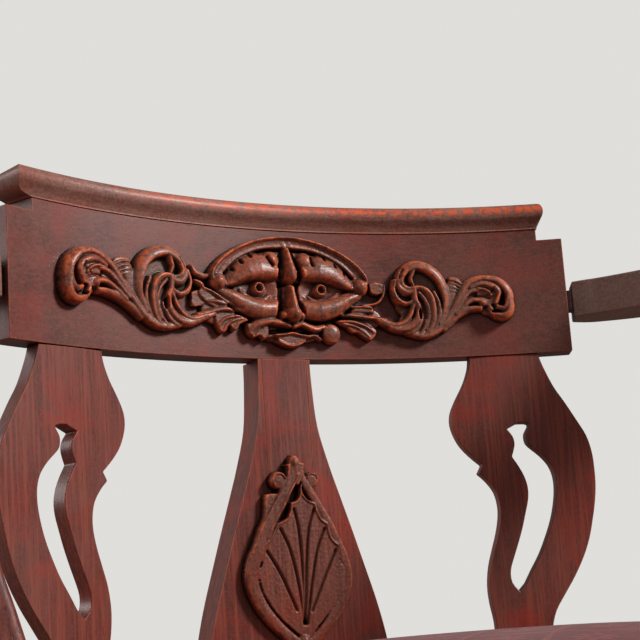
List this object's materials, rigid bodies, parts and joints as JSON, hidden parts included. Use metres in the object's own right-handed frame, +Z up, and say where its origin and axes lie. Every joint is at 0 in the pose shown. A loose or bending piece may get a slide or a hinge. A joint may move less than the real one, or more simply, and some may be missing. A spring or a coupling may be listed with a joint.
{
  "type": "corner chair",
  "caption": "Mahogany corner chair with horseshoe arms, a crest carved with a leafy mask and scrolls, pierced splats, cabriole legs and a round drop-in seat.",
  "frame": {"origin": "on the floor under the middle of the chair's box", "axes": "+Z up, +Y towards the carved crest at the back, the front leg towards -Y, +X to the right seen from the front"},
  "size_m": [0.72, 0.6754, 0.8005],
  "materials": {
    "mahogany": "worn satin polish",
    "carving": "dark patina in the hollows",
    "beech": "bare",
    "jute": "woven",
    "horsehair": "matted",
    "seat_cloth": "woven",
    "screw_steel": "dull"
  },
  "bodies": {
    "frame": {"crest_rail": "mahogany", "crest_cap": "mahogany", "cap_return_left": "mahogany", "cap_return_right": "mahogany", "mask_carving": "carving", "scroll_carving_left": "carving", "scroll_carving_right": "carving", "arm_left": "mahogany", "arm_right": "mahogany", "back_leg_post": "mahogany", "back_post_ear_left": "mahogany", "back_post_ear_right": "mahogany", "shell_carving": "carving", "left_leg_post": "mahogany", "right_leg_post": "mahogany", "front_leg": "mahogany", "splat_left": "mahogany", "splat_right": "mahogany", "shoe_left": "mahogany", "shoe_right": "mahogany", "rear_rail_left": "mahogany", "rear_rail_right": "mahogany", "front_rail_left": "mahogany", "front_rail_right": "mahogany", "glue_block_back": "beech", "glue_block_front": "beech", "glue_block_left": "beech", "glue_block_right": "beech", "block_screws": "screw_steel", "knee_brackets_back": "mahogany", "knee_brackets_front": "mahogany", "knee_brackets_left": "mahogany", "knee_brackets_right": "mahogany"},
    "seat": {"seat_frame_rear_left": "beech", "seat_frame_rear_right": "beech", "seat_frame_front_left": "beech", "seat_frame_front_right": "beech", "seat_frame_dowels": "beech", "seat_webbing": "jute", "seat_hessian": "jute", "seat_stuffing": "horsehair", "seat_cover": "seat_cloth"}
  },
  "joints": [
    {"name": "seat_lift", "type": "slide", "parent": "frame", "child": "seat", "axis": [0, 0, 1], "range_m": [0, 0.09]}
  ]
}
